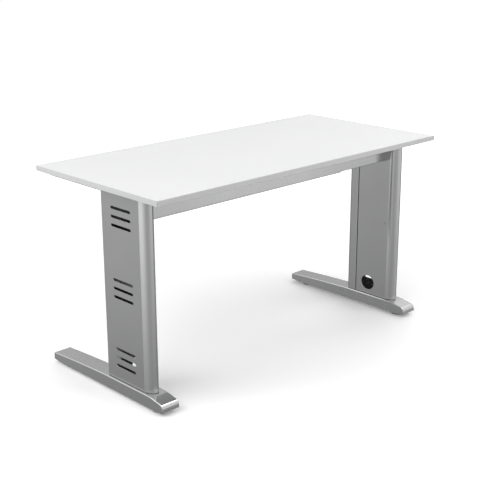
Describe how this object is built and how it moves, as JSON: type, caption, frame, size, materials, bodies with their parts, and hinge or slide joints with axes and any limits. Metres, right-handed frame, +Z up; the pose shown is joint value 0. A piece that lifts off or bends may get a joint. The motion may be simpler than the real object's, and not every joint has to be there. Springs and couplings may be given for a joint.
{
  "type": "office desk",
  "caption": "Rectangular board desk top on a metal C-leg frame, with hollow columns for cables, lift-off slotted covers and levelling glides",
  "frame": {"origin": "on the floor, under the middle of the desk's footprint, glides screwed fully in", "axes": "+X along the desk's length to the right as seen from the visitor's side, +Y towards the user's side, +Z up"},
  "size_m": [1.4, 0.67, 0.755],
  "materials": {
    "board": "chipboard with a fine-grained white melamine face",
    "edging": "smooth white edge strip",
    "silver_paint": "silver powder coat with a fine metallic fleck",
    "zinc": "bright zinc plating",
    "black_steel": "black coated steel",
    "grey_plastic": "moulded grey plastic"
  },
  "bodies": {
    "root": {"arm_end_plug_left": "grey_plastic", "arm_end_plug_right": "grey_plastic", "arm_screw_front_left": "zinc", "arm_screw_front_right": "zinc", "arm_screw_rear_left": "zinc", "arm_screw_rear_right": "zinc", "column_base_plate_left": "black_steel", "column_base_plate_right": "black_steel", "column_bolt_front_left": "zinc", "column_bolt_front_right": "zinc", "column_bolt_rear_left": "zinc", "column_bolt_rear_right": "zinc", "cross_rail_insert": "silver_paint", "cross_rail_sleeve": "silver_paint", "desktop_board": "board", "edge_band_left": "edging", "edge_band_right": "edging", "edge_band_user_side": "edging", "edge_band_visitor_side": "edging", "foot_left": "silver_paint", "foot_right": "silver_paint", "front_upright_left": "silver_paint", "front_upright_right": "silver_paint", "glide_nut_front_left": "black_steel", "glide_nut_front_right": "black_steel", "glide_nut_rear_left": "black_steel", "glide_nut_rear_right": "black_steel", "inner_panel_left": "silver_paint", "inner_panel_right": "silver_paint", "rail_bolt_lower_left": "zinc", "rail_bolt_lower_right": "zinc", "rail_bolt_upper_left": "zinc", "rail_bolt_upper_right": "zinc", "rail_bracket_left": "black_steel", "rail_bracket_right": "black_steel", "rail_end_plate_left": "silver_paint", "rail_end_plate_right": "silver_paint", "rail_joint_screw_left": "zinc", "rail_joint_screw_right": "zinc", "rail_top_screw_left": "zinc", "rail_top_screw_right": "zinc", "rear_upright_left": "silver_paint", "rear_upright_right": "silver_paint", "support_arm_left": "silver_paint", "support_arm_right": "silver_paint"},
    "glide_front_left": {"glide_pad_front_left": "grey_plastic", "glide_stud_front_left": "zinc"},
    "glide_rear_left": {"glide_pad_rear_left": "grey_plastic", "glide_stud_rear_left": "zinc"},
    "cover_left": {"outer_cover_left": "silver_paint", "cover_clip_front_left": "zinc", "cover_clip_rear_left": "zinc"},
    "glide_front_right": {"glide_pad_front_right": "grey_plastic", "glide_stud_front_right": "zinc"},
    "glide_rear_right": {"glide_pad_rear_right": "grey_plastic", "glide_stud_rear_right": "zinc"},
    "cover_right": {"outer_cover_right": "silver_paint", "cover_clip_front_right": "zinc", "cover_clip_rear_right": "zinc"}
  },
  "joints": [
    {"name": "glide_screw_front_left", "type": "slide", "parent": "root", "child": "glide_front_left", "axis": [0, 0, -1], "range_m": [0, 0.01]},
    {"name": "glide_screw_rear_left", "type": "slide", "parent": "root", "child": "glide_rear_left", "axis": [0, 0, -1], "range_m": [0, 0.01]},
    {"name": "cover_lift_off_left", "type": "slide", "parent": "root", "child": "cover_left", "axis": [-1, 0, 0], "range_m": [0, 0.06]},
    {"name": "glide_screw_front_right", "type": "slide", "parent": "root", "child": "glide_front_right", "axis": [0, 0, -1], "range_m": [0, 0.01]},
    {"name": "glide_screw_rear_right", "type": "slide", "parent": "root", "child": "glide_rear_right", "axis": [0, 0, -1], "range_m": [0, 0.01]},
    {"name": "cover_lift_off_right", "type": "slide", "parent": "root", "child": "cover_right", "axis": [1, 0, 0], "range_m": [0, 0.06]}
  ]
}
